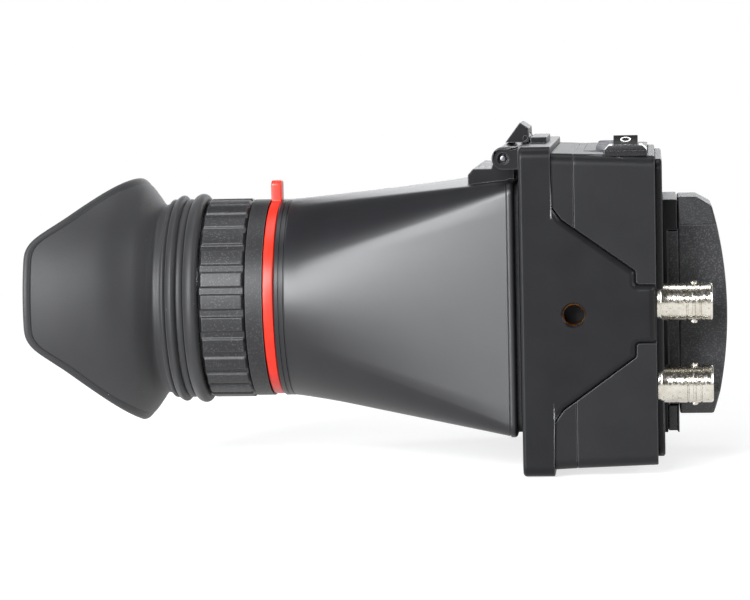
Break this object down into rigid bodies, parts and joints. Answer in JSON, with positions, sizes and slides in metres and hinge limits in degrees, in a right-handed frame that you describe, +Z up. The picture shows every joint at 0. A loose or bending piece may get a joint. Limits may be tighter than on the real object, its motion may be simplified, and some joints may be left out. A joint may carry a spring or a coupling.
{
  "type": "electronic viewfinder",
  "caption": "Flip-up electronic viewfinder: display in a boxed housing, square-to-round loupe with focus ring and eyecup, video sockets, rear battery.",
  "frame": {"origin": "mouth of the tripod thread in the foot, on the part's mid-plane", "axes": "+X along the optical axis from the eyecup to the battery, +Z up, -Y the side with the video sockets"},
  "size_m": [0.1819, 0.086, 0.0894],
  "materials": {
    "frame_paint": "fine matte black paint on a metal casting",
    "casing_plastic": "matte black moulded plastic",
    "cover_plastic": "matte black moulded plastic",
    "cone_plastic": "smooth satin black plastic",
    "battery_plastic": "coarsely textured black plastic",
    "steel": "plain steel",
    "black_steel": "blackened steel screws",
    "nickel": "nickel plate over brass",
    "brass": "brass",
    "gold": "gold plate",
    "red_paint": "bright red-orange coating",
    "rubber": "matte black rubber",
    "seal_rubber": "black sponge rubber",
    "gloss_black": "gloss black plastic",
    "button_rubber": "dark grey silicone",
    "ptfe": "white plastic core",
    "lens_glass": "coated optical glass",
    "window_glass": "clear protective window",
    "lcd": "switched-off display panel",
    "white_plastic": "white light guide",
    "board": "green circuit board",
    "flex": "amber flexible circuit",
    "cell_wrap": "blue cell wrap"
  },
  "bodies": {
    "housing": {"front_frame": "frame_paint", "thread_inserts": "brass", "frame_screws": "black_steel", "front_shell": "casing_plastic", "rear_shell": "casing_plastic", "rear_cover": "cover_plastic", "cover_screws": "black_steel", "window_gasket": "seal_rubber", "display_window": "window_glass", "lcd_panel": "lcd", "backlight": "white_plastic", "display_flex": "flex", "main_board": "board", "board_screws": "steel", "sdi_in_body": "nickel", "sdi_in_insulator": "ptfe", "sdi_in_contact": "gold", "sdi_out_body": "nickel", "sdi_out_insulator": "ptfe", "sdi_out_contact": "gold", "sdi_nuts": "nickel", "power_switch_body": "gloss_black", "control_panel": "cover_plastic", "button_board": "board", "tact_switches": "gloss_black", "battery_plate": "cover_plastic", "plate_screws": "black_steel", "battery_contacts": "gold", "release_spring": "steel", "hinge_pins": "steel", "lever_bracket": "frame_paint", "lever_pin": "steel"},
    "loupe": {"loupe_cone": "cone_plastic", "loupe_seal": "seal_rubber", "barrel_tube": "cone_plastic", "hinge_arm": "frame_paint", "arm_screws": "black_steel"},
    "focus": {"focus_ring": "cone_plastic", "focus_grip": "rubber"},
    "eyepiece": {"lens_cell": "cone_plastic", "guide_pins": "steel", "eye_lens": "lens_glass", "field_lens": "lens_glass", "lens_spacer": "cone_plastic", "lens_retainer": "cone_plastic"},
    "lock": {"lock_ring": "red_paint"},
    "cup": {"eyecup_ring": "gloss_black", "eyecup": "rubber"},
    "rocker": {"power_rocker": "gloss_black"},
    "lever": {"release_lever": "frame_paint", "lever_spring": "steel"},
    "catch": {"battery_release": "gloss_black"},
    "battery": {"battery_case": "battery_plastic", "battery_base": "battery_plastic", "battery_cells": "cell_wrap"},
    "button_menu": {"button_menu": "button_rubber"},
    "button_down": {"button_down": "button_rubber"},
    "button_up": {"button_up": "button_rubber"},
    "button_source": {"button_source": "button_rubber"}
  },
  "joints": [
    {"name": "loupe_flip", "type": "hinge", "parent": "housing", "child": "loupe", "pos_m": [-0.0174, 0, 0.0811], "axis": [0, 1, 0], "range_deg": [0, 95]},
    {"name": "focus_turn", "type": "hinge", "parent": "loupe", "child": "focus", "pos_m": [-0.0924, 0, 0.0434], "axis": [1, 0, 0], "range_deg": [-45, 45]},
    {"name": "eyepiece_slide", "type": "slide", "parent": "loupe", "child": "eyepiece", "axis": [1, 0, 0], "range_m": [-0.0025, 0.0025]},
    {"name": "lock_ring_turn", "type": "hinge", "parent": "loupe", "child": "lock", "pos_m": [-0.0801, 0, 0.0434], "axis": [1, 0, 0], "range_deg": [-20, 20]},
    {"name": "eyecup_turn", "type": "hinge", "parent": "loupe", "child": "cup", "pos_m": [-0.1004, 0, 0.0434], "axis": [1, 0, 0], "continuous": true},
    {"name": "rocker_tilt", "type": "hinge", "parent": "housing", "child": "rocker", "pos_m": [0.0136, -0.0325, 0.083], "axis": [1, 0, 0], "range_deg": [-24, 0]},
    {"name": "lever_turn", "type": "hinge", "parent": "housing", "child": "lever", "pos_m": [-0.0128, 0, 0.0853], "axis": [0, 1, 0], "range_deg": [0, 20], "stiffness_Nm_per_rad": 0.05, "springref_deg": -8.59},
    {"name": "catch_slide", "type": "slide", "parent": "housing", "child": "catch", "axis": [0, 0, -1], "range_m": [0, 0.002], "stiffness_N_per_m": 300, "springref_m": -0.001, "deforming": ["release_spring"]},
    {"name": "battery_pull", "type": "slide", "parent": "housing", "child": "battery", "axis": [1, 0, 0], "range_m": [0, 0.03]},
    {"name": "button_menu_press", "type": "slide", "parent": "housing", "child": "button_menu", "axis": [0, 0, -1], "range_m": [0, 0.0005], "stiffness_N_per_m": 600, "springref_m": -0.0004},
    {"name": "button_down_press", "type": "slide", "parent": "housing", "child": "button_down", "axis": [0, 0, -1], "range_m": [0, 0.0005], "stiffness_N_per_m": 600, "springref_m": -0.0004},
    {"name": "button_up_press", "type": "slide", "parent": "housing", "child": "button_up", "axis": [0, 0, -1], "range_m": [0, 0.0005], "stiffness_N_per_m": 600, "springref_m": -0.0004},
    {"name": "button_source_press", "type": "slide", "parent": "housing", "child": "button_source", "axis": [0, 0, -1], "range_m": [0, 0.0005], "stiffness_N_per_m": 600, "springref_m": -0.0004}
  ],
  "couplings": [
    {"joint": "focus_turn", "follows": "eyepiece_slide", "rad_per_m": -314.15}
  ]
}
